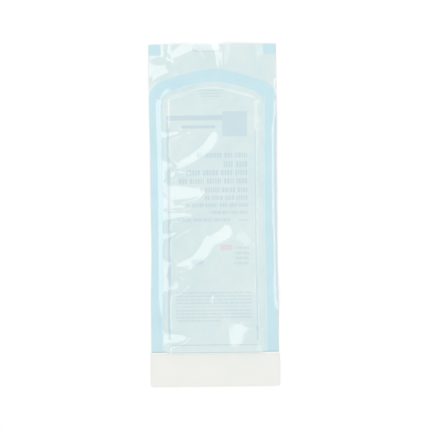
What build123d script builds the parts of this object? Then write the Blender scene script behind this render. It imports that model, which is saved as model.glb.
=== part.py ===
"""Self-sealing sterilization pouch, lying on its paper side and a little puffed open.

A sheet of medical paper carries a clear blue-tinted film, fused to it along both sides and along
a chevron at the peel end. Beyond the chevron the two sheets are loose and form two peel tabs.
At the other end the pouch is open, and the paper runs on past the film as a closure flap, which
holds an adhesive strip under a peel-off liner.

Millimetres. X runs across the pouch, +Y towards the peel tabs, +Z out of the film side.
The origin is on the resting plane, under the middle of the pouch.
"""

from build123d import *
import os

# Overall size
pouch_length = 240.0  # from the flap's free end to the tabs' free end
liner_width = 90.0
sheet_width = 89.2  # the film and the paper under it
flap_width = 89.6

# Thicknesses, all stacked up from the resting plane
paper_thick = 0.10
seal_thick = 0.02
film_thick = 0.06
adhesive_thick = 0.06
liner_thick = 0.09
ink_depth = 0.02

# Places along Y
end_y = pouch_length / 2
fold_y = -97.1  # crease that the closure flap turns on
mouth_y = -96.3  # the film's free edge
tab_line_y = 102.75  # crease that both peel tabs turn on
crease_gap = 0.2  # between the two sides of a crease

# Heat seals
seal_width = 8.6
shoulder_y = 75.0  # where the straight side seals meet the chevron seal
outer_corner_y = 91.45  # the corners are where the straight slopes would meet, before rounding
outer_apex_y = 104.8
outer_radii = (14.0, 54.0, 14.0)
inner_corner_y = 84.8
inner_apex_y = 95.6
inner_radii = (11.0, 54.0, 11.0)
window_end_y = 93.2  # tip of the window, once rounded
corner_seal_length = 7.2

# Puff of the film over the window, as its rise above the seals at places along Y
window_half = sheet_width / 2 - seal_width
mouth_rise = 6.6
middle_rise = 7.6
arch_steps = (-1.0, -0.72, -0.4, 0.0, 0.4, 0.72, 1.0)  # shares of the window's half width

# Thumb notch in the paper tab
notch_width = 20.0
notch_depth = 5.4
notch_x = -3.5
notch_radius = 1.5

# Closure strip and process indicators
strip_margin = 0.4
adhesive_margin = 2.0
indicator_size = (8.4, 3.6)
gas_indicator_at = (8.8, -22.8)
steam_indicator_at = (-12.0, -33.0)

film_bottom = paper_thick + seal_thick
adhesive_top = paper_thick + adhesive_thick
half_sheet = sheet_width / 2


def sheet_between(low_y, high_y, width):
    """A rectangle across the pouch from one place along Y to another."""
    with Locations((0, (low_y + high_y) / 2)):
        Rectangle(width, high_y - low_y)


def chevron(half_width, base_y, corner_y, apex_y, radii):
    """The area under a chevron with rounded shoulders and apex, down to a straight base."""
    corners = [
        (-half_width, base_y),
        (-half_width, corner_y),
        (0, apex_y),
        (half_width, corner_y),
        (half_width, base_y),
    ]
    with BuildSketch() as area:
        with BuildLine():
            edge = FilletPolyline(*corners, radius=radii)
            Line(edge @ 1, edge @ 0)
        make_face()
    return area.sketch


def film_section(place_y, window, rise):
    """The film cut across: flat on the seals, and arched over the window between them."""
    lower = [(-half_sheet, film_bottom)]
    for step in arch_steps:
        lower.append((step * window, film_bottom + rise * (1 - step**2)))
    lower.append((half_sheet, film_bottom))
    upper = [(x, z + film_thick) for x, z in reversed(lower)]
    with BuildSketch(Plane.XZ.offset(-place_y)) as section:
        with BuildLine():
            Polyline(*lower, *upper, close=True)
        make_face()
    return section.sketch


def side_seal(side):
    """One of the two straight seals: side is -1 for the left and 1 for the right."""
    with BuildPart() as seal:
        with BuildSketch(Plane.XY.offset(paper_thick)):
            with Locations((side * (half_sheet - seal_width / 2), (mouth_y + shoulder_y) / 2)):
                Rectangle(seal_width, shoulder_y - mouth_y)
        extrude(amount=seal_thick)
    return seal


def corner_seal(side):
    """The small square seal that joins the two tabs in one of their free corners."""
    with BuildPart() as seal:
        with BuildSketch(Plane.XY.offset(paper_thick)):
            centre_y = end_y - corner_seal_length / 2
            with Locations((side * (half_sheet - seal_width / 2), centre_y)):
                Rectangle(seal_width, corner_seal_length)
        extrude(amount=seal_thick)
    return seal


def indicator(place):
    """A patch of indicator ink, soaked into the underside of the paper."""
    with BuildPart() as patch:
        with BuildSketch():
            with Locations(place):
                Rectangle(*indicator_size)
        extrude(amount=ink_depth)
    return patch


# Process indicators
gas_indicator = indicator(gas_indicator_at)
steam_indicator = indicator(steam_indicator_at)

# Paper web between the two creases, with room in its underside for the indicator inks
with BuildPart() as paper_back:
    with BuildSketch():
        sheet_between(fold_y + crease_gap / 2, tab_line_y - crease_gap / 2, sheet_width)
    extrude(amount=paper_thick)
    with BuildSketch():
        with Locations(gas_indicator_at, steam_indicator_at):
            Rectangle(*indicator_size)
    extrude(amount=ink_depth, mode=Mode.SUBTRACT)

# Closure flap: the paper beyond the fold
with BuildPart() as closure_flap:
    with BuildSketch():
        sheet_between(-end_y, fold_y - crease_gap / 2, flap_width)
    extrude(amount=paper_thick)

# Paper peel tab, with a thumb notch in its free edge
with BuildPart() as paper_peel_tab:
    with BuildSketch():
        sheet_between(tab_line_y + crease_gap / 2, end_y, sheet_width)
        with Locations((notch_x, end_y)):
            RectangleRounded(notch_width, 2 * notch_depth, notch_radius, mode=Mode.SUBTRACT)
    extrude(amount=paper_thick)

# Film window: sections along Y as (place, half width of the window, rise over the seals)
film_stations = (
    (mouth_y, window_half, mouth_rise),
    (-50.0, window_half, middle_rise),
    (10.0, window_half, middle_rise),
    (50.0, window_half, 6.8),
    (66.0, window_half, 5.4),
    (76.0, window_half, 3.6),
    (84.0, 29.0, 2.0),
    (89.0, 17.0, 0.8),
    (window_end_y, 4.0, 0.05),
)
with BuildPart() as window_film:
    for station in film_stations:
        add(film_section(*station))
    loft(ruled=True)
    with BuildSketch(Plane.XY.offset(film_bottom)):
        sheet_between(window_end_y, tab_line_y - crease_gap / 2, sheet_width)
    extrude(amount=film_thick)

# Film peel tab
with BuildPart() as film_peel_tab:
    with BuildSketch(Plane.XY.offset(film_bottom)):
        sheet_between(tab_line_y + crease_gap / 2, end_y, sheet_width)
    extrude(amount=film_thick)

# Heat seals between the film and the paper
seal_left = side_seal(-1)
seal_right = side_seal(1)
with BuildPart() as seal_arch:
    with BuildSketch(Plane.XY.offset(paper_thick)):
        add(chevron(half_sheet, shoulder_y, outer_corner_y, outer_apex_y, outer_radii))
        inner_edge = (window_half, shoulder_y, inner_corner_y, inner_apex_y, inner_radii)
        add(chevron(*inner_edge), mode=Mode.SUBTRACT)
    extrude(amount=seal_thick)
corner_seal_left = corner_seal(-1)
corner_seal_right = corner_seal(1)

# Adhesive on the flap, under its liner
flap_inner_y = fold_y - crease_gap / 2
with BuildPart() as adhesive_strip:
    with BuildSketch(Plane.XY.offset(paper_thick)):
        sheet_between(-end_y + adhesive_margin, flap_inner_y - adhesive_margin, flap_width)
    extrude(amount=adhesive_thick)
with BuildPart() as release_liner:
    with BuildSketch(Plane.XY.offset(adhesive_top)):
        sheet_between(-end_y, flap_inner_y - strip_margin, liner_width)
    extrude(amount=liner_thick)

pieces = {
    "paper_back": paper_back,
    "closure_flap": closure_flap,
    "paper_peel_tab": paper_peel_tab,
    "window_film": window_film,
    "film_peel_tab": film_peel_tab,
    "seal_left": seal_left,
    "seal_right": seal_right,
    "seal_arch": seal_arch,
    "corner_seal_left": corner_seal_left,
    "corner_seal_right": corner_seal_right,
    "adhesive_strip": adhesive_strip,
    "release_liner": release_liner,
    "steam_indicator": steam_indicator,
    "gas_indicator": gas_indicator,
}
os.makedirs("parts", exist_ok=True)
for name, piece in pieces.items():
    piece.part.label = name
    export_step(piece.part, f"parts/{name}.step")
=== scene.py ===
"""A self-seal sterilization pouch of clear film and medical paper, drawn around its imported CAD.

The pouch lies paper side down. X runs across it, +Y towards the peel tabs and +Z out of the
film. Shapes are worked out in millimetres and written to the meshes in metres.
"""

import math

import bpy
import numpy as np
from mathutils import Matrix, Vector, noise


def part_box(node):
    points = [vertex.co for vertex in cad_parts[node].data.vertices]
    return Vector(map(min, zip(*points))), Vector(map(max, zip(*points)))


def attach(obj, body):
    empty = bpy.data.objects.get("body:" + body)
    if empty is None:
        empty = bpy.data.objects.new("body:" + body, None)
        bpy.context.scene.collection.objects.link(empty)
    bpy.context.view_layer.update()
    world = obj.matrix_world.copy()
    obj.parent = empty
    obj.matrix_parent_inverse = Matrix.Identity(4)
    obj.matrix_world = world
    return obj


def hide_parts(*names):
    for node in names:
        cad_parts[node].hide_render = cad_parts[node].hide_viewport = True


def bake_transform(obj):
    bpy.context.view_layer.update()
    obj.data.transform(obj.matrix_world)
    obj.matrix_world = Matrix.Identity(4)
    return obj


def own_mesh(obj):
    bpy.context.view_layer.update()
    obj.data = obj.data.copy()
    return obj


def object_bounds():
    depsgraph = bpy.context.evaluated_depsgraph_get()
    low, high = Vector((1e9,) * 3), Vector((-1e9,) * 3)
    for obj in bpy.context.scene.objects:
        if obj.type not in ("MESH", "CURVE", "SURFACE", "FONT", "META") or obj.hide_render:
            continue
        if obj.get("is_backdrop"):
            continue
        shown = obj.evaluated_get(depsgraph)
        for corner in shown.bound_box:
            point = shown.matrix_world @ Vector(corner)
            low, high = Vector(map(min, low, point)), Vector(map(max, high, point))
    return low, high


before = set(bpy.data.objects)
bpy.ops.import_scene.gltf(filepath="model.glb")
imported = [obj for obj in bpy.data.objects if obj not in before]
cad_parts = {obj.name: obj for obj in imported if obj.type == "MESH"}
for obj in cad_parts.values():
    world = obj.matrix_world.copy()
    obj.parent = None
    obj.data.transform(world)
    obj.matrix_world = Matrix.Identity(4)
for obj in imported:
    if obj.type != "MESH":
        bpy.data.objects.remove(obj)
cad_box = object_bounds()

MM = 0.001

# Small clearances, in mm, that keep stacked faces apart
TABLE_GAP = 0.02
SEAL_RISE = 0.006
INK_DROP = 0.012
INK_RISE = 0.012
PATCH_RISE = 0.014


# Measures of the pouch, in mm, read from its own parts


def box_mm(node):
    """A node's lowest and highest corners."""
    low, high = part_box(node)
    return [c / MM for c in low], [c / MM for c in high]


film_low, film_high = box_mm("window_film")
seal_low, seal_high = box_mm("seal_left")
liner_low, liner_high = box_mm("release_liner")
flap_low, flap_high = box_mm("closure_flap")
glue_low, glue_high = box_mm("adhesive_strip")
tab_low, tab_high = box_mm("paper_peel_tab")
paper_low, paper_high = box_mm("paper_back")
corner_low = box_mm("corner_seal_left")[0]

half_sheet = film_high[0]
seal_width = seal_high[0] - seal_low[0]
window_half = half_sheet - seal_width
mouth_y = film_low[1]
shoulder_y = seal_high[1]
fold_y = (flap_high[1] + paper_low[1]) / 2
tab_line_y = (paper_high[1] + tab_low[1]) / 2
end_y = tab_high[1]
paper_top = paper_high[2]
paper_thick = paper_top - TABLE_GAP
film_base = film_low[2]

# The chevron's two edges: where its slopes would meet the sides, and each other
OUTER_EDGE = {"half": half_sheet, "corner_y": 91.45, "apex_y": 104.8, "bend": 14.0, "tip": 54.0}
INNER_EDGE = {"half": window_half, "corner_y": 84.8, "apex_y": 95.6, "bend": 11.0, "tip": 54.0}

# The thumb notch: its middle, half its width, its depth and its corners' radius
NOTCH_X = -3.5
NOTCH_HALF = 10.0
NOTCH_DEPTH = 5.4
NOTCH_BEND = 1.5

# A slanting edge is nearer than its height above a point says
SLANT = 0.97


def chevron_at(x, edge):
    """Height along Y of a chevron edge at a distance x from the middle."""
    x = np.abs(np.asarray(x, float))
    slope = (edge["apex_y"] - edge["corner_y"]) / edge["half"]
    lean = math.sqrt(1 + slope**2)
    y = edge["apex_y"] - slope * x
    tip = edge["tip"]
    near_tip = x < tip * slope / lean
    y = np.where(near_tip, edge["apex_y"] - tip * lean + np.sqrt(np.maximum(tip**2 - x**2, 0)), y)
    bend = edge["bend"]
    centre = edge["half"] - bend
    base = edge["corner_y"] + slope * bend - bend * lean
    out = np.clip(x - centre, 0, bend)
    near_side = x > centre + bend * slope / lean
    return np.where(near_side, base + np.sqrt(np.maximum(bend**2 - out**2, 0)), y)


def ease(a, b, v):
    """0 below a, 1 above b and a smooth rise between them."""
    t = np.clip((v - a) / (b - a), 0, 1)
    return t * t * (3 - 2 * t)


def waviness(x, y, size, seed=0.0):
    """Smooth unevenness between about -1 and 1, with lumps of the given size."""
    out = np.empty(x.shape)
    for i, (px, py) in enumerate(zip(x.ravel(), y.ravel())):
        out.ravel()[i] = noise.noise(Vector((px / size, py / size, seed)))
    return out * 1.6


# How the pouch lies

# The share of its width that a puffed pouch draws in at mid-length
DRAW_IN = 0.016
# How far, in mm, the paper swells beside the left seal: under the flap, and further along
SWELL_AT_MOUTH = 0.17
SWELL_ALONG = 0.33
# How far, in mm, its edges lift, its sides wave and its tab stands off the table
RIGHT_CURL = 1.1
LEFT_LIFT = 0.2
SIDE_WAVE = 0.2
TAB_LIFT = 1.2
# How far, in mm, the film stands off: the arch in its middle, more away from the mouth and
# less towards the chevron; then its broad unevenness, its crinkle and its pleats
FILM_SWELL = 4.0
SWELL_PAST_MOUTH = 0.5
SWELL_AT_CHEVRON = 1.0
FILM_UNEVEN = 0.3
FILM_CRINKLE = 0.06
FILM_PLEAT = 0.3
# The same for the loose film tab
TAB_SWELL = 1.5
TAB_UNEVEN = 0.3


def drawn_in(x, y):
    """Puffed film pulls the long edges in a little at mid-length."""
    pull = DRAW_IN * ease(-75, -20, y) * (1 - ease(30, 85, y))
    return x * (1 - pull)


def inside(x, y):
    """Distance from the seals' inner edge: above 0 over the window, below 0 on the seals."""
    head = chevron_at(np.minimum(np.abs(x), window_half), INNER_EDGE)
    return np.minimum(window_half - np.abs(x), (head - y) * SLANT)


def lie(x, y):
    """How far the paper's underside stands off the table."""
    along = ease(-74, -60, y) * (1 - ease(62, 92, y))
    inset = inside(x, y)
    left = 1 - ease(-38, -22, x)
    # Under the folded flap the swell is lower and narrower, and the flap itself has none
    clear = ease(-76, -58, y)
    high = (SWELL_AT_MOUTH + SWELL_ALONG * clear) * ease(-96.5, -94.0, y)
    left_swell = high * left * ease(-2.4 - 1.8 * clear, 0, inset) * (1 - ease(0, 9, inset))
    right_curl = RIGHT_CURL * ease(41.3, 45.6, x) ** 1.2
    left_edge = LEFT_LIFT * (1 - ease(-44.6, -41.0, x))
    slow = SIDE_WAVE * np.sin(y / 17.0) * ease(30, 44, np.abs(x))
    tab_lift = TAB_LIFT * ease(103, 121, y) * (0.55 + 0.45 * np.cos(x / 14.5))
    bed = along * np.maximum(left_edge + right_curl + slow, 0)
    return np.maximum(bed + left_swell * (1 - ease(92, 100, y)) + tab_lift, 0) + TABLE_GAP


def along_path(x, y, path):
    """Distance from a path, positive on the left of the walk, and the share of it walked."""
    pts = smooth_path(path)
    best = np.full(x.shape, 1e9)
    side = np.zeros(x.shape)
    share = np.zeros(x.shape)
    for i in range(len(pts) - 1):
        ax, ay = pts[i]
        bx, by = pts[i + 1]
        ux, uy = bx - ax, by - ay
        t = np.clip(((x - ax) * ux + (y - ay) * uy) / (ux * ux + uy * uy), 0, 1)
        dx, dy = x - ax - t * ux, y - ay - t * uy
        d = dx * dx + dy * dy
        closer = d < best
        best = np.where(closer, d, best)
        side = np.where(closer, ux * dy - uy * dx, side)
        share = np.where(closer, (i + t) / (len(pts) - 1), share)
    return np.sqrt(best) * np.sign(side), share


def step_up(x, y, path, width, rise, back):
    """A fold where the film steps up to the left of the walk, then sinks back slowly.

    It starts broad and high and gets narrower and lower along the path, as a crease does.
    """
    off, share = along_path(x, y, path)
    ends = ease(0, 0.16, share) * (1 - ease(0.84, 1, share))
    narrow = 1.15 - 0.4 * share
    width, rise = width * narrow, rise * narrow
    return rise * ends * ease(0, width, off) * np.exp(-np.maximum(off - width, 0) / back)


def reach_in(x, y):
    """How far in from the seals the film takes to rise."""
    inset = window_half + x
    left = np.full(x.shape, 6.0)
    for mid, half, length, lean in SLOW_RISES:
        nose = half * np.sqrt(np.clip(1 - (inset / length) ** 4, 0.04, 1))
        off = y - mid - lean * (inset - 6)
        left = left + max(15.0, length - 5.0) * np.exp(-((off / nose) ** 6))
    return left + (8.0 - left) * ease(-8, 6, x)


def smooth_path(points, steps=6):
    """The points of a curve through the given ones."""
    p = [points[0], *points, points[-1]]
    out = []
    for i in range(1, len(p) - 2):
        for k in range(steps):
            t = k / steps
            pair = []
            for a, b, c, d in zip(p[i - 1], p[i], p[i + 1], p[i + 2]):
                pair.append(
                    0.5
                    * (
                        2 * b
                        + (c - a) * t
                        + (2 * a - 5 * b + 4 * c - d) * t * t
                        + (3 * b - a - 3 * c + d) * t**3
                    )
                )
            out.append(tuple(pair))
    out.append(tuple(points[-1]))
    return out


# Folds in the window film, in mm: path, width, rise and how far the high side reaches
WINDOW_STEPS = (
    (((1, 62), (-7, 51), (-17, 43), (-28, 37), (-41, 32)), 8.0, 1.15, 12.0),
    (((12, -1), (4, -8), (-7, -14), (-12, -23), (-20, -29), (-38, -33)), 11.5, 1.9, 12.0),
    (((30, -36), (4, -42), (-24, -37)), 12.0, 0.8, 14.0),
    (((-2, -55), (-3, -58), (-3, -63)), 3.0, 0.5, 5.0),
    (((6, -68), (3, -77), (3, -90), (6, -100)), 29.0, 4.1, 14.0),
)
# Places down the left seal where the film rises slowly: middle, half width, length and lean
SLOW_RISES = (
    (57, 2.8, 14.0, 0.1),
    (31, 7.6, 10.0, -0.1),
    (16.0, 7.0, 29.0, 0.0),
    (6.5, 2.8, 17.0, -0.06),
    (-0.3, 3.8, 19.0, 0.06),
    (-13.5, 2.8, 11.0, 0.3),
    (-37, 6.6, 9.0, 0.0),
    (-49.0, 5.6, 16.0, 0.0),
    (-86, 5.0, 17.0, 0.05),
)
# Folds in the film tab, told the same way
TAB_STEPS = (
    (((-4, 125), (0, 112), (2, 98)), 8.0, 1.15, 6.0),
    (((6.5, 125), (4.5, 112), (3, 102)), 4.0, 0.5, 8.0),
    (((-13, 125), (-23, 119), (-33, 113)), 8.0, 1.0, 9.0),
    (((-34, 116), (-43, 110), (-48, 102), (-50, 84)), 26.0, 3.4, 9.0),
    (((30, 121), (27, 112), (22, 103)), 6.0, 0.5, 9.0),
)


def loft_film(x, y):
    """Height of the window film over the seals: the low arch, its creases and its crinkle."""
    inset = np.clip(inside(x, y), 0, window_half)
    swell = FILM_SWELL + SWELL_PAST_MOUTH * ease(-96, -50, y) - SWELL_AT_CHEVRON * ease(30, 88, y)
    reach = reach_in(x, y)
    bulge = 1.15 + 0.85 * np.exp(-((reach - 6) / 5) ** 2)
    arch = swell * (1 - (1 - np.minimum(inset / reach, 1)) ** bulge)
    free = ease(0, 7, inset)
    folds = sum(step_up(x, y, *fold) for fold in WINDOW_STEPS)
    broad = FILM_UNEVEN * waviness(x, y, 34, 3.1)
    crinkle = FILM_CRINKLE * (1 - 2 * np.abs(waviness(x, y, 12, 7.7)))
    to_right = 0.25 + 0.75 * ease(20, 30, x)
    pleat = FILM_PLEAT * to_right * ease(0, 1.5, inset) * (1 - ease(2.5, 7, inset))
    pleat = pleat * (0.25 + 1.1 * np.abs(waviness(x * 0.3, y, 13, 4.6)))
    pleats = pleat * np.sin(y * 0.9 + 0.5 * x + 6.0 * waviness(x * 0.1, y, 16, 1.3))
    return np.maximum(arch + free * (folds + broad + crinkle) + pleats, 0)


def loft_tab(x, y):
    """Height of the film over the paper past the chevron, where the two are loose."""
    foot = chevron_at(np.minimum(np.abs(x), half_sheet), OUTER_EDGE)
    free = ease(0, 14, y - foot)
    in_corner = ease(window_half - 7, window_half, np.abs(x)) * ease(104, 113, y)
    swell = TAB_SWELL * (1 - 0.5 * (np.abs(x) / half_sheet) ** 2)
    folds = sum(step_up(x, y, *fold) for fold in TAB_STEPS)
    uneven = TAB_UNEVEN * waviness(x, y, 18, 5.5)
    loose = free * (swell + uneven) + ease(0, 4, y - foot) * folds
    return np.maximum(loose, 0) * (1 - in_corner)


def film_height(x, y):
    """The film's underside: on the seals it lies on the laminate, elsewhere it stands off."""
    return film_base + lie(x, y) + loft_film(x, y) + loft_tab(x, y)


# Meshes

SHARP_ANGLE = math.radians(50)
# Spacing of the points across each sheet, in mm, and the rows of them along it
FILM_STEP, PAPER_STEP, STRIP_STEP, MARK_STEP = 0.85, 1.2, 1.5, 3.0
FILM_ROWS, FILM_TAB_ROWS = 236, 22
WEB_ROWS, PAPER_TAB_ROWS, FLAP_ROWS = 150, 16, 20
GLUE_ROWS, LINER_ROWS = 12, 16
# The film tab and its corner seals end just short of the paper
FILM_SHORT, CORNER_SHORT = 0.1, 0.15
# How strongly the flap's rows close up towards its crease
CLOSE_UP = 2.2


def finish_mesh(name, verts, faces, uvs=None, slots=None):
    """An object from points in mm, smooth shaded, with a map in mm if it is given one."""
    mesh = bpy.data.meshes.new(name)
    mesh.from_pydata([tuple(c * MM for c in v) for v in verts], [], faces)
    for poly in mesh.polygons:
        poly.use_smooth = True
    if slots:
        for poly, k in zip(mesh.polygons, slots):
            poly.material_index = k
    if uvs is not None:
        layer = mesh.uv_layers.new(name="band")
        for loop in mesh.loops:
            layer.data[loop.index].uv = uvs[loop.vertex_index]
    mesh.update()
    mesh.set_sharp_from_angle(angle=SHARP_ANGLE)
    obj = bpy.data.objects.new(name, mesh)
    bpy.context.scene.collection.objects.link(obj)
    return obj


def grid(columns, low, high, rows):
    """Points of a patch whose columns run from low(x) to high(x)."""
    x = np.repeat(np.asarray(columns, float)[:, None], rows + 1, 1)
    t = np.linspace(0, 1, rows + 1)[None, :]
    a = low(x[:, :1])
    b = high(x[:, :1])
    return x, a + (b - a) * t


def grid_faces(n, m):
    """Faces of an n by m patch of points, facing +Z."""
    out = []
    for i in range(n - 1):
        for j in range(m - 1):
            k = i * m + j
            out.append((k, k + m, k + m + 1, k + 1))
    return out


def patch(name, x, y, underside, thick):
    """A sheet over a patch of points: one skin if thick is 0, or a closed slab."""
    n, m = x.shape
    z = underside(x, y)
    sx = drawn_in(x, y)
    lower = [(sx.ravel()[k], y.ravel()[k], z.ravel()[k]) for k in range(n * m)]
    uvs = [(y.ravel()[k], x.ravel()[k]) for k in range(n * m)]
    faces = grid_faces(n, m)
    if not thick:
        return finish_mesh(name, lower, faces, uvs)
    upper = [(a, b, c + thick) for a, b, c in lower]
    count = n * m
    top = [tuple(k + count for k in f) for f in faces]
    bottom = [tuple(reversed(f)) for f in faces]
    rim = [k * m for k in range(n)]
    rim += [(n - 1) * m + j for j in range(1, m)]
    rim += [k * m + m - 1 for k in range(n - 2, -1, -1)]
    rim += [j for j in range(m - 2, 0, -1)]
    walls = []
    for a, b in zip(rim, rim[1:] + rim[:1]):
        walls.append((a, b, b + count, a + count))
    kinds = [0] * len(top) + [1] * len(bottom) + [0] * len(walls)
    return finish_mesh(name, lower + upper, top + bottom + walls, uvs + uvs, kinds)


def flat(value):
    """An edge straight across the pouch, for a patch's low or high side."""
    return lambda x: np.full(np.shape(x), float(value))


def columns(low, high, step=1.0, extra=()):
    """Places across a sheet, evenly spaced, with a few more where an edge needs them."""
    count = max(2, round((high - low) / step) + 1)
    return np.unique(np.concatenate([np.linspace(low, high, count), np.array(extra, float)]))


def make_film():
    """The window film and the film tab: two patches that meet at the chevron's tip, where the
    sheet creases.
    """
    across = columns(-half_sheet, half_sheet, FILM_STEP)
    x, y = grid(across, flat(mouth_y), flat(tab_line_y), FILM_ROWS)
    window = patch("film_window", x, y, film_height, 0)
    x, y = grid(across, flat(tab_line_y), flat(end_y - FILM_SHORT), FILM_TAB_ROWS)
    tab = patch("film_tab_sheet", x, y, film_height, 0)
    return window, tab


def notch(x):
    """Free edge of the paper tab, with the thumb notch cut into it."""
    inset = NOTCH_HALF - np.abs(x - NOTCH_X)
    bend = NOTCH_BEND
    corner = np.clip(bend - inset, 0, bend)
    depth = NOTCH_DEPTH - bend + np.sqrt(bend**2 - corner**2)
    return end_y - np.where(inset > 0, depth, 0)


def make_paper():
    """The paper web, its peel tab and its closure flap: three patches that meet at the sheet's two
    creases.
    """
    across = columns(-half_sheet, half_sheet, PAPER_STEP)
    x, y = grid(across, flat(fold_y), flat(tab_line_y), WEB_ROWS)
    web = patch("paper_web", x, y, lie, paper_thick)
    edges = []
    for side in (-1, 1):
        wall = NOTCH_X + side * NOTCH_HALF
        edges += [wall - 0.005, wall + 0.005]
        edges += [wall - side * d for d in (0.15, 0.4, 0.8, 1.5)]
    across = columns(-half_sheet, half_sheet, PAPER_STEP, edges)
    x, y = grid(across, flat(tab_line_y), notch, PAPER_TAB_ROWS)
    tab = patch("paper_tab_sheet", x, y, lie, paper_thick)
    wide = flap_high[0]
    x, y = grid(columns(-wide, wide, PAPER_STEP), flat(flap_low[1]), flat(fold_y), FLAP_ROWS)
    # Rows close up towards the crease, so that the fold there is tight
    span = fold_y - flap_low[1]
    y = fold_y - span * ((fold_y - y) / span) ** CLOSE_UP
    flap = patch("flap_sheet", x, y, lie, paper_thick)
    return web, tab, flap


def edge_line(edge, base_y):
    """Points along a chevron edge from the left side's base to the right side's."""
    slope = (edge["apex_y"] - edge["corner_y"]) / edge["half"]
    turn = math.pi / 2 - math.atan(slope)
    lean = math.sqrt(1 + slope**2)
    bend = edge["bend"]
    cx, cy = -edge["half"] + bend, edge["corner_y"] + slope * bend - bend * lean
    left = [(-edge["half"], base_y + (cy - base_y) * k / 4) for k in range(4)]
    for k in range(9):
        a = math.pi - turn * k / 8
        left.append((cx + bend * math.cos(a), cy + bend * math.sin(a)))
    tip = edge["tip"]
    reach = tip * slope / lean
    ax, ay = left[-1]
    bx, by = -reach, edge["apex_y"] - slope * reach
    left += [(ax + (bx - ax) * k / 20, ay + (by - ay) * k / 20) for k in range(1, 20)]
    for k in range(5):
        x = -reach * (1 - k / 4)
        left.append((x, edge["apex_y"] - tip * lean + math.sqrt(tip**2 - x**2)))
    return left + [(-x, y) for x, y in reversed(left[:-1])]


def on_laminate(x, y):
    """Height just clear of the paper's top, where the seals and the adhesive lie."""
    return lie(x, y) + paper_top


def band(name, inner, outer):
    """A heat seal between two lines of points, mapped in mm along it and across it."""
    across = 8
    verts, uvs = [], []
    run = 0.0
    last = None
    for (ax, ay), (bx, by) in zip(inner, outer):
        mid = ((ax + bx) / 2, (ay + by) / 2)
        if last:
            run += math.dist(mid, last)
        last = mid
        for j in range(across + 1):
            t = j / across
            x, y = ax + (bx - ax) * t, ay + (by - ay) * t
            z = float(on_laminate(np.array(x), np.array(y)))
            verts.append((float(drawn_in(x, np.array(y))), y, z + SEAL_RISE))
            uvs.append((run, seal_width * t))
    return finish_mesh(name, verts, grid_faces(len(inner), across + 1), uvs)


def make_seals():
    """Five areas of heat seal: two sides, the chevron and the tabs' two corners."""
    steps = np.linspace(mouth_y, shoulder_y, 121)
    right = band(
        "side_seal_right",
        [(window_half, y) for y in steps[::-1]],
        [(half_sheet, y) for y in steps[::-1]],
    )
    left = band(
        "side_seal_left",
        [(-window_half, y) for y in steps],
        [(-half_sheet, y) for y in steps],
    )
    inner, outer = edge_line(INNER_EDGE, shoulder_y), edge_line(OUTER_EDGE, shoulder_y)
    arch = band("chevron_seal", inner, outer)
    corners = []
    for side, name in ((-1, "corner_seal_patch_left"), (1, "corner_seal_patch_right")):
        ys = np.linspace(corner_low[1], end_y - CORNER_SHORT, 9)
        if side > 0:
            ys = ys[::-1]
        corners.append(
            band(name, [(side * window_half, y) for y in ys], [(side * half_sheet, y) for y in ys])
        )
    return left, right, arch, corners


def make_closure():
    """The adhesive strip on the flap, and the release liner that covers it."""
    across = columns(glue_low[0], glue_high[0], STRIP_STEP)
    x, y = grid(across, flat(glue_low[1]), flat(glue_high[1]), GLUE_ROWS)
    glue_thick = glue_high[2] - glue_low[2]
    glue = patch("adhesive_layer", x, y, on_laminate, glue_thick)
    across = columns(liner_low[0], liner_high[0], STRIP_STEP)
    x, y = grid(across, flat(liner_low[1]), flat(liner_high[1]), LINER_ROWS)

    def on_glue(x, y):
        """Height of the liner's underside, which ripples a little on the adhesive."""
        ripple = 0.05 * (1 + np.sin(x / 9.0) * np.cos(y / 7.0))
        return on_laminate(x, y) + glue_thick + ripple * 0.6

    liner = patch("liner_strip", x, y, on_glue, liner_high[2] - liner_low[2])
    return glue, liner


# Printed marks on the paper's outer face, seen faintly through it: left, right, low, high in mm
BARS = (
    (-32.7, 6.5, 66.6, 70.0),
    (-22.2, 1.6, 60.9, 63.0),
    (-32.9, -31.0, -87.5, 65.4),
    (29.2, 30.4, -87.5, 59.5),
    (-31.0, 29.2, -91.6, -90.9),
    (-27.8, 26.0, -64.6, -64.2),
)
SQUARE_MARK = (6.5, 24.0, 55.2, 72.7)
# Rows of plain strokes in place of words: left, right, low, high and mean word length
DASH_ROWS = (
    (-10.3, 7.2, 87.0, 88.0, 3.0),
    (-9.0, 6.0, 85.0, 85.9, 3.0),
    (-8.0, 5.0, 83.0, 83.9, 2.5),
    (-11.0, 24.0, 40.2, 43.6, 9.0),
    (8.0, 24.0, 33.4, 37.6, 8.0),
    (-19.4, 24.0, 27.8, 31.6, 8.0),
    (-23.6, 24.0, 22.0, 25.6, 8.0),
    (-8.2, 24.0, 15.8, 19.2, 7.0),
    (-5.4, 24.0, 10.6, 13.6, 7.0),
    (-19.4, 24.0, 5.6, 8.2, 6.0),
    (-2.6, 24.0, 0.7, 2.8, 5.0),
    (-25.7, 11.4, -4.6, -2.2, 5.0),
    (18.4, 24.0, -4.2, -3.0, 3.0),
    (14.9, 24.6, -24.0, -22.4, 4.0),
    (14.9, 24.6, -27.6, -26.0, 4.0),
    (14.9, 24.6, -31.2, -29.6, 4.0),
    (14.9, 24.6, -34.8, -33.2, 4.0),
    (-27.0, 26.0, -55.2, -54.0, 4.0),
    (-27.0, 26.0, -57.6, -56.4, 4.0),
    (-27.0, 26.0, -60.0, -58.8, 4.0),
    (-27.0, 26.0, -62.4, -61.2, 4.0),
    (-27.0, 26.0, -67.6, -66.4, 4.0),
    (-27.0, 26.0, -70.0, -68.8, 4.0),
    (-27.0, 26.0, -72.4, -71.2, 4.0),
    (-27.0, 4.0, -74.8, -73.6, 4.0),
)


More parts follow.
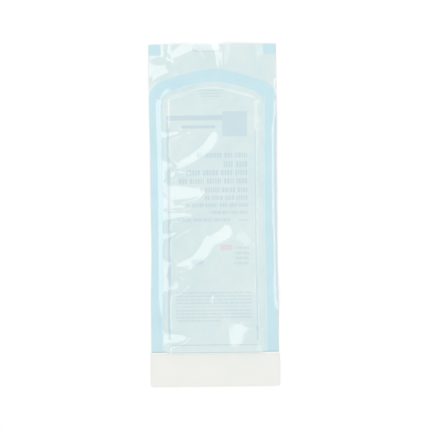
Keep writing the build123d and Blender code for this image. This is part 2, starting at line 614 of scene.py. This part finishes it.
def mark_slabs(name, areas, ghost_rise=INK_RISE):
    """Thin marks that go right through the paper: ink below, and what shows of it above."""
    verts, faces, kinds = [], [], []
    for left, right, low, high in areas:
        nx = max(1, math.ceil((right - left) / MARK_STEP))
        ny = max(1, math.ceil((high - low) / MARK_STEP))
        along_x, along_y = np.linspace(left, right, nx + 1), np.linspace(low, high, ny + 1)
        x, y = np.meshgrid(along_x, along_y, indexing="ij")
        z = lie(x, y)
        sx = drawn_in(x, y)
        for above in (True, False):
            base = len(verts)
            rise = paper_thick + ghost_rise if above else -INK_DROP
            for a, b, c in zip(sx.ravel(), y.ravel(), z.ravel()):
                verts.append((a, b, c + rise))
            for f in grid_faces(nx + 1, ny + 1):
                f = tuple(base + k for k in f)
                faces.append(f if above else tuple(reversed(f)))
                kinds.append(0 if above else 1)
    return finish_mesh(name, verts, faces, None, kinds)


def dashes():
    """The rows as words of plain upright strokes, the same each time.

    Stroke widths and the gaps between strokes and words are shares of the row's height.
    """
    step = 0
    for left, right, low, high, word in DASH_ROWS:
        tall = high - low
        at = right
        ends = right - word
        while at > left:
            step += 1
            chance = abs(noise.cell(Vector((step * 1.37, low, 0.5))))
            stroke = tall * (0.18 + 0.3 * chance)
            yield (at - stroke, at, low, high)
            at -= stroke + tall * 0.2
            if at < ends:
                at -= tall * 0.4
                ends = at - word * (0.6 + 0.8 * chance)


def make_print():
    """The printed bars and strokes, the square mark and the two indicator patches."""
    marks = mark_slabs("printed_marks", [*BARS, *dashes()])
    square = mark_slabs("square_mark", [SQUARE_MARK])
    patches = []
    for node, name in (("steam_indicator", "steam_patch"), ("gas_indicator", "gas_patch")):
        low, high = box_mm(node)
        patches.append(mark_slabs(name, [(low[0], high[0], low[1], high[1])], PATCH_RISE))
    return marks, square, patches


# Finishes

# Sockets of a colour mix: its two colours and its result
FIRST, SECOND, MIXED = 6, 7, 2


def linear(hex_colour):
    """An sRGB hex colour as linear red, green, blue and alpha."""
    out = []
    for k in (0, 2, 4):
        c = int(hex_colour[k : k + 2], 16) / 255
        out.append(c / 12.92 if c <= 0.04045 else ((c + 0.055) / 1.055) ** 2.4)
    return (*out, 1.0)


def node(tree, kind, settings=None, links=None):
    """Adds a node, with its values by socket or property name and its links by socket."""
    n = tree.nodes.new(kind)
    for key, value in (settings or {}).items():
        if isinstance(key, str) and hasattr(n, key):
            setattr(n, key, value)
        else:
            n.inputs[key].default_value = value
    for key, source in (links or {}).items():
        tree.links.new(source, n.inputs[key])
    return n


def new_finish(name):
    """An empty material and its node tree."""
    finish = bpy.data.materials.new(name)
    finish.use_nodes = True
    finish.node_tree.nodes.clear()
    return finish, finish.node_tree


def close_finish(tree, shader):
    """Links the shader to the material's surface."""
    node(tree, "ShaderNodeOutputMaterial", None, {"Surface": shader})


def place(tree):
    """The point's place in the piece, in metres, which a pattern's scale multiplies."""
    return node(tree, "ShaderNodeTexCoord").outputs["Object"]


def laminate_film():
    """Clear polyester and polypropylene laminate, blown and calendered, with a blue-green tint."""
    finish, tree = new_finish("clear laminate film")
    at = place(tree)
    # Faint draw lines along the web, drawn 2 mm apart so that they show
    lines = node(tree, "ShaderNodeMapping", {"Scale": (1.0, 0.08, 1.0)}, {"Vector": at})
    draw = node(
        tree, "ShaderNodeTexNoise", {"Scale": 500.0, "Detail": 2.0}, {"Vector": lines.outputs[0]}
    )
    bump = node(
        tree,
        "ShaderNodeBump",
        {"Strength": 0.25, "Distance": 0.06 * MM},
        {"Height": draw.outputs["Fac"]},
    )
    # The tint deepens and clears a little at random, in clouds about 20 mm across
    cloud = node(tree, "ShaderNodeTexNoise", {"Scale": 50.0, "Detail": 3.0}, {"Vector": at})
    tint = node(
        tree,
        "ShaderNodeMix",
        {"data_type": "RGBA", FIRST: linear("eaf6f9"), SECOND: linear("f7fcfd")},
        {0: cloud.outputs["Fac"]},
    )
    # The film's tint is drawn darker over the last 0.4 mm at the mouth, a line along its edge
    apart = node(tree, "ShaderNodeSeparateXYZ", None, {0: at})
    cut = node(
        tree,
        "ShaderNodeMapRange",
        {"From Min": (mouth_y + 0.75) * MM, "From Max": (mouth_y + 0.35) * MM},
        {"Value": apart.outputs[1]},
    )
    darkened_at_mouth = node(
        tree,
        "ShaderNodeMix",
        {"data_type": "RGBA", SECOND: linear("cfe3e6")},
        {0: cut.outputs[0], FIRST: tint.outputs[MIXED]},
    )
    clear = node(tree, "ShaderNodeBsdfTransparent", None, {"Color": darkened_at_mouth.outputs[MIXED]})
    gloss = node(
        tree,
        "ShaderNodeBsdfGlossy",
        {"Color": linear("ffffff"), "Roughness": 0.09},
        {"Normal": bump.outputs[0]},
    )
    # Both faces of the film reflect: 8 percent straight on, and more at a slant from either side
    slant = node(tree, "ShaderNodeLayerWeight", {"Blend": 0.5}, {"Normal": bump.outputs[0]})
    steep = node(
        tree, "ShaderNodeMath", {"operation": "POWER", 1: 5.0}, {0: slant.outputs["Facing"]}
    )
    share = node(
        tree, "ShaderNodeMapRange", {"To Min": 0.08, "To Max": 1.0}, {"Value": steep.outputs[0]}
    )
    mixed = node(
        tree,
        "ShaderNodeMixShader",
        None,
        {0: share.outputs[0], 1: clear.outputs[0], 2: gloss.outputs[0]},
    )
    close_finish(tree, mixed.outputs[0])
    return finish


def kraft_paper(name, colour, shade):
    """Bleached medical kraft, calendered: matt, faintly fibrous and a little cloudy."""
    finish, tree = new_finish(name)
    at = place(tree)
    # Fibres are 0.02 mm wide and 1 to 2 mm long; drawn 0.4 mm wide so that they show
    fibre = node(
        tree,
        "ShaderNodeTexNoise",
        {"Scale": 2500.0, "Detail": 4.0, "Roughness": 0.6},
        {"Vector": at},
    )
    cloud = node(tree, "ShaderNodeTexNoise", {"Scale": 160.0, "Detail": 5.0}, {"Vector": at})
    both = node(
        tree,
        "ShaderNodeMath",
        {"operation": "ADD"},
        {0: fibre.outputs["Fac"], 1: cloud.outputs["Fac"]},
    )
    spread = node(
        tree,
        "ShaderNodeMapRange",
        {"From Min": 0.7, "From Max": 1.3},
        {"Value": both.outputs[0]},
    )
    tone = node(
        tree,
        "ShaderNodeMix",
        {"data_type": "RGBA", FIRST: linear(shade), SECOND: linear(colour)},
        {0: spread.outputs[0]},
    )
    bump = node(
        tree,
        "ShaderNodeBump",
        {"Strength": 0.3, "Distance": 0.03 * MM},
        {"Height": fibre.outputs["Fac"]},
    )
    skin = node(
        tree,
        "ShaderNodeBsdfPrincipled",
        {"Roughness": 0.82, "IOR": 1.45, "Specular IOR Level": 0.3},
        {"Base Color": tone.outputs[MIXED], "Normal": bump.outputs[0]},
    )
    close_finish(tree, skin.outputs[0])
    return finish


def ribbed_seal():
    """Film and paper fused under a ribbed hot bar: deeper blue, with fine ribs along the seal."""
    finish, tree = new_finish("ribbed heat seal")
    at = node(tree, "ShaderNodeUVMap", {"uv_map": "band"}).outputs[0]
    apart = node(tree, "ShaderNodeSeparateXYZ", None, {0: at})
    # Ribs are 0.8 mm apart; drawn 1.43 mm apart so that they show
    turns = 2 * math.pi / 1.43
    turn = node(
        tree,
        "ShaderNodeMath",
        {"operation": "MULTIPLY", 1: turns},
        {0: apart.outputs[1]},
    )
    rib = node(tree, "ShaderNodeMath", {"operation": "SINE"}, {0: turn.outputs[0]})
    share = node(
        tree, "ShaderNodeMapRange", {"From Min": -1.0, "From Max": 1.0}, {"Value": rib.outputs[0]}
    )
    uneven = node(
        tree, "ShaderNodeTexNoise", {"Scale": 90.0, "Detail": 4.0}, {"Vector": place(tree)}
    )
    blend = node(
        tree,
        "ShaderNodeMath",
        {"operation": "MULTIPLY"},
        {0: share.outputs[0], 1: uneven.outputs["Fac"]},
    )
    tone = node(
        tree,
        "ShaderNodeMix",
        {"data_type": "RGBA", FIRST: linear("d9ebf0"), SECOND: linear("e1f0f4")},
        {0: blend.outputs[0]},
    )
    bump = node(
        tree,
        "ShaderNodeBump",
        {"Strength": 0.4, "Distance": 0.08 * MM},
        {"Height": share.outputs[0]},
    )
    skin = node(
        tree,
        "ShaderNodeBsdfPrincipled",
        {"Roughness": 0.5, "IOR": 1.5},
        {"Base Color": tone.outputs[MIXED], "Normal": bump.outputs[0]},
    )
    close_finish(tree, skin.outputs[0])
    return finish


def printed_ink(name, colour, shade, roughness):
    """Flexographic ink on uncoated paper: matt and slightly starved where the fibres stand up."""
    finish, tree = new_finish(name)
    at = place(tree)
    grain = node(tree, "ShaderNodeTexNoise", {"Scale": 900.0, "Detail": 3.0}, {"Vector": at})
    tone = node(
        tree,
        "ShaderNodeMix",
        {"data_type": "RGBA", FIRST: linear(colour), SECOND: linear(shade)},
        {0: grain.outputs["Fac"]},
    )
    skin = node(
        tree,
        "ShaderNodeBsdfPrincipled",
        {"Roughness": roughness, "Specular IOR Level": 0.3},
        {"Base Color": tone.outputs[MIXED]},
    )
    close_finish(tree, skin.outputs[0])
    return finish


def silicone_liner():
    """Glassine paper with a silicone coat: white, smooth and satin."""
    finish, tree = new_finish("silicone-coated liner paper")
    at = place(tree)
    cloud = node(tree, "ShaderNodeTexNoise", {"Scale": 60.0, "Detail": 4.0}, {"Vector": at})
    tone = node(
        tree,
        "ShaderNodeMix",
        {"data_type": "RGBA", FIRST: linear("e2e5e1"), SECOND: linear("e8eae6")},
        {0: cloud.outputs["Fac"]},
    )
    bump = node(
        tree,
        "ShaderNodeBump",
        {"Strength": 0.15, "Distance": 0.1 * MM},
        {"Height": cloud.outputs["Fac"]},
    )
    skin = node(
        tree,
        "ShaderNodeBsdfPrincipled",
        {"Roughness": 0.42, "IOR": 1.45, "Coat Weight": 0.15, "Coat Roughness": 0.3},
        {"Base Color": tone.outputs[MIXED], "Normal": bump.outputs[0]},
    )
    close_finish(tree, skin.outputs[0])
    return finish


def tacky_adhesive():
    """Hot-melt adhesive, coated from a slot: pale amber and slightly orange-peeled."""
    finish, tree = new_finish("hot-melt adhesive")
    at = place(tree)
    peel = node(tree, "ShaderNodeTexNoise", {"Scale": 700.0, "Detail": 2.0}, {"Vector": at})
    tone = node(
        tree,
        "ShaderNodeMix",
        {"data_type": "RGBA", FIRST: linear("e6e0cb"), SECOND: linear("efebdb")},
        {0: peel.outputs["Fac"]},
    )
    bump = node(
        tree,
        "ShaderNodeBump",
        {"Strength": 0.35, "Distance": 0.06 * MM},
        {"Height": peel.outputs["Fac"]},
    )
    skin = node(
        tree,
        "ShaderNodeBsdfPrincipled",
        {"Roughness": 0.25, "IOR": 1.48},
        {"Base Color": tone.outputs[MIXED], "Normal": bump.outputs[0]},
    )
    close_finish(tree, skin.outputs[0])
    return finish


# Put together


def dress(obj, body, slot, finishes, *nodes):
    """Gives a piece its finishes, its body and the CAD nodes it stands for; its slot is not used.

    A piece that bends across a crease has no one body: it is left without one.
    """
    for finish in finishes:
        obj.data.materials.append(finish)
    if body:
        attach(obj, body)
    if nodes:
        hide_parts(*nodes)


def metres(width, length):
    """A flat size in metres."""
    return (width * MM, length * MM)


film_finish = laminate_film()
inside_paper = kraft_paper("medical kraft, inner face", "f0f2ef", "ebeeeb")
outside_paper = kraft_paper("medical kraft, outer face", "e8eae7", "e0e3e1")
seal_finish = ribbed_seal()
ink_finish = printed_ink("blue ink", "5f8db8", "86a9c9", 0.6)
ghost_finish = printed_ink("blue ink through the paper", "d6e0e5", "dde5e8", 0.8)
mark_ghost = printed_ink("blue mark through the paper", "dbe4e9", "e1e8eb", 0.8)
steam_finish = printed_ink("steam indicator ink", "8fb4c4", "a3c2ce", 0.65)
steam_ghost = printed_ink("steam indicator through the paper", "d9e2e5", "dfe6e8", 0.8)
gas_finish = printed_ink("gas indicator ink", "d68aae", "e0a1be", 0.65)
gas_ghost = printed_ink("gas indicator through the paper", "f3dbe2", "f5e2e7", 0.8)
liner_finish = silicone_liner()
glue_finish = tacky_adhesive()

film, film_tab = make_film()
web, paper_tab, flap = make_paper()
left_seal, right_seal, arch_seal, corner_seals = make_seals()
glue, liner = make_closure()
marks, square, patches = make_print()

papers = (inside_paper, outside_paper)
dress(web, "pouch", "medical_paper", papers, "paper_back")
dress(paper_tab, None, "medical_paper", papers, "paper_peel_tab")
dress(flap, None, "medical_paper", papers, "closure_flap")
dress(film, "pouch", "clear_film", (film_finish,), "window_film")
dress(film_tab, None, "clear_film", (film_finish,), "film_peel_tab")
dress(left_seal, "pouch", "heat_seal", (seal_finish,), "seal_left")
dress(right_seal, "pouch", "heat_seal", (seal_finish,), "seal_right")
dress(arch_seal, "pouch", "heat_seal", (seal_finish,), "seal_arch")
for corner, side in zip(corner_seals, ("left", "right")):
    dress(corner, "film_tab", "heat_seal", (seal_finish,), "corner_seal_" + side)
dress(glue, "flap", "pressure_adhesive", (glue_finish, glue_finish), "adhesive_strip")
dress(liner, "liner", "coated_liner_paper", (liner_finish, liner_finish), "release_liner")
dress(marks, "pouch", "medical_paper", (ghost_finish, ink_finish))
dress(square, "pouch", "medical_paper", (mark_ghost, ink_finish))
dress(patches[0], "pouch", "steam_ink", (steam_ghost, steam_finish), "steam_indicator")
dress(patches[1], "pouch", "gas_ink", (gas_ghost, gas_finish), "gas_indicator")

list(corner_seals)
liner_width, liner_length = liner_high[0] - liner_low[0], liner_high[1] - liner_low[1]
metres(liner_width, liner_length)

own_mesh(film)
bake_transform(flap)
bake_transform(film_tab)
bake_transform(paper_tab)


# Table, light and camera

# In metres, and the lens and sensor in mm
TABLE_HALF = 2.5
TABLE_Z = -0.0004
WORLD_STRENGTH = 0.85
LENS = 85.0
SENSOR = 36.0
VIEW_WIDTH = 0.302
VIEW_X = 0.0008
VIEW_ROLL = -0.6
# Soft lights: name, spot, size, power and tint
BOXES = (
    ("key_box", (-0.42, 0.12, 1.05), (1.10, 0.40), 2.3, "fff3ee"),
    ("fill_box", (0.72, -0.1, 1.0), (1.1, 0.8), 1.8, "ffffff"),
    ("far_box", (0.05, 1.1, 0.8), (0.9, 0.35), 0.9, "ffffff"),
)


def make_table():
    """A plain white table top, well past the view."""
    mesh = bpy.data.meshes.new("table_top")
    signs = ((-1, -1), (1, -1), (1, 1), (-1, 1))
    corners = [(TABLE_HALF * a, TABLE_HALF * b, TABLE_Z) for a, b in signs]
    mesh.from_pydata(corners, [], [(0, 1, 2, 3)])
    obj = bpy.data.objects.new("table_top", mesh)
    bpy.context.scene.collection.objects.link(obj)
    finish, tree = new_finish("white laminate")
    look = {"Base Color": linear("f9f9f9"), "Roughness": 0.9}
    skin = node(tree, "ShaderNodeBsdfPrincipled", look)
    close_finish(tree, skin.outputs[0])
    mesh.materials.append(finish)
    obj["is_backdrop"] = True


def softbox(name, spot, size, power, tint):
    """A soft light aimed at the pouch's middle.

    Its spot and its size are in metres and its power in watts. The first size runs around the
    pouch and the second towards it.
    """
    data = bpy.data.lights.new(name, "AREA")
    data.shape = "RECTANGLE"
    data.size, data.size_y = size
    data.energy = power
    data.color = linear(tint)[:3]
    obj = bpy.data.objects.new(name, data)
    obj.location = spot
    obj.rotation_euler = (-Vector(spot)).to_track_quat("-Z", "Y").to_euler()
    bpy.context.scene.collection.objects.link(obj)


def set_light():
    """A bright white room, a warm long box to the left and two plain boxes."""
    world = bpy.data.worlds.new("studio")
    world.use_nodes = True
    back = world.node_tree.nodes["Background"]
    back.inputs["Color"].default_value = linear("ffffff")
    back.inputs["Strength"].default_value = WORLD_STRENGTH
    bpy.context.scene.world = world
    for box in BOXES:
        softbox(*box)


def set_camera():
    """Straight above the pouch, turned half a degree, with a view 302 mm wide."""
    data = bpy.data.cameras.new("camera")
    data.lens = LENS
    data.sensor_width = SENSOR
    data.clip_start = 0.01
    obj = bpy.data.objects.new("camera", data)
    obj.location = (VIEW_X, 0.0, VIEW_WIDTH * LENS / SENSOR)
    obj.rotation_euler = (0, 0, math.radians(VIEW_ROLL))
    bpy.context.scene.collection.objects.link(obj)
    bpy.context.scene.camera = obj
    bpy.context.scene.view_settings.view_transform = "Standard"


make_table()
set_light()
set_camera()

sizes = {"cad": cad_box, "visual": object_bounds()}
plain = {k: [[float(c) for c in corner] for corner in v] for k, v in sizes.items()}
